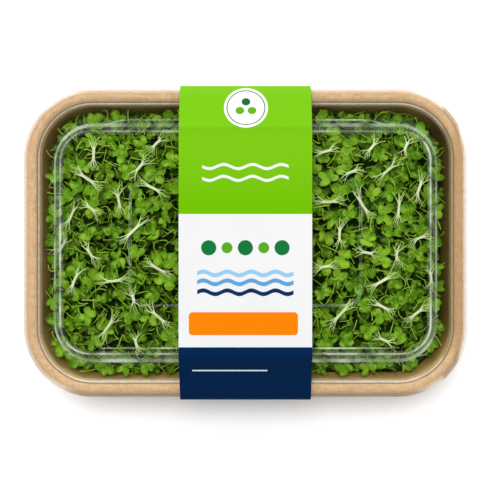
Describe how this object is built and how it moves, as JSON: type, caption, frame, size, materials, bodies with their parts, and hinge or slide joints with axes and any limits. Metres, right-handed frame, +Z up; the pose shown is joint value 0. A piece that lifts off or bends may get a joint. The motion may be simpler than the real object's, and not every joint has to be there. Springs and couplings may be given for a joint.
{
  "type": "microgreens tray",
  "caption": "Rectangular rolled-rim board tray filled with cut microgreens, closed by a clear domed lid and a card sleeve.",
  "frame": {"origin": "middle of the flat face that the tray rests on, under the card sleeve", "axes": "+X along the tray's length, +Y along its width towards the end of the sleeve with the round badge, +Z up"},
  "size_m": [0.174, 0.1228, 0.0516],
  "materials": {
    "kraft_board": "smooth kraft board with a thin inner coating",
    "clear_plastic": "clear thermoformed sheet",
    "printed_card": "coated white card with a plain-coloured print",
    "leaf": "fresh seed leaves with a soft sheen",
    "pale_stem": "moist pale green-white stems"
  },
  "bodies": {
    "root": {"tray_wall": "kraft_board", "tray_base": "kraft_board", "lid": "clear_plastic", "sleeve": "printed_card", "greens_left": "leaf", "greens_middle": "leaf", "greens_right": "leaf", "stems_01": "pale_stem", "stems_02": "pale_stem", "stems_03": "pale_stem", "stems_04": "pale_stem", "stems_05": "pale_stem", "stems_06": "pale_stem", "stems_07": "pale_stem", "stems_08": "pale_stem", "stems_09": "pale_stem", "stems_10": "pale_stem", "stems_11": "pale_stem", "stems_12": "pale_stem", "stems_13": "pale_stem", "stems_14": "pale_stem", "stems_15": "pale_stem", "stems_16": "pale_stem", "stems_17": "pale_stem", "stems_18": "pale_stem", "stems_19": "pale_stem", "stems_20": "pale_stem", "stems_21": "pale_stem", "stems_22": "pale_stem", "stems_23": "pale_stem", "stems_24": "pale_stem", "stems_25": "pale_stem", "stems_26": "pale_stem", "stems_27": "pale_stem", "stems_28": "pale_stem", "stems_29": "pale_stem", "stems_30": "pale_stem", "stems_31": "pale_stem", "stems_32": "pale_stem", "stems_33": "pale_stem", "stems_34": "pale_stem", "stems_35": "pale_stem", "stems_36": "pale_stem", "stems_37": "pale_stem", "stems_38": "pale_stem", "stems_39": "pale_stem", "stems_40": "pale_stem", "stems_41": "pale_stem", "stems_42": "pale_stem"}
  },
  "joints": []
}
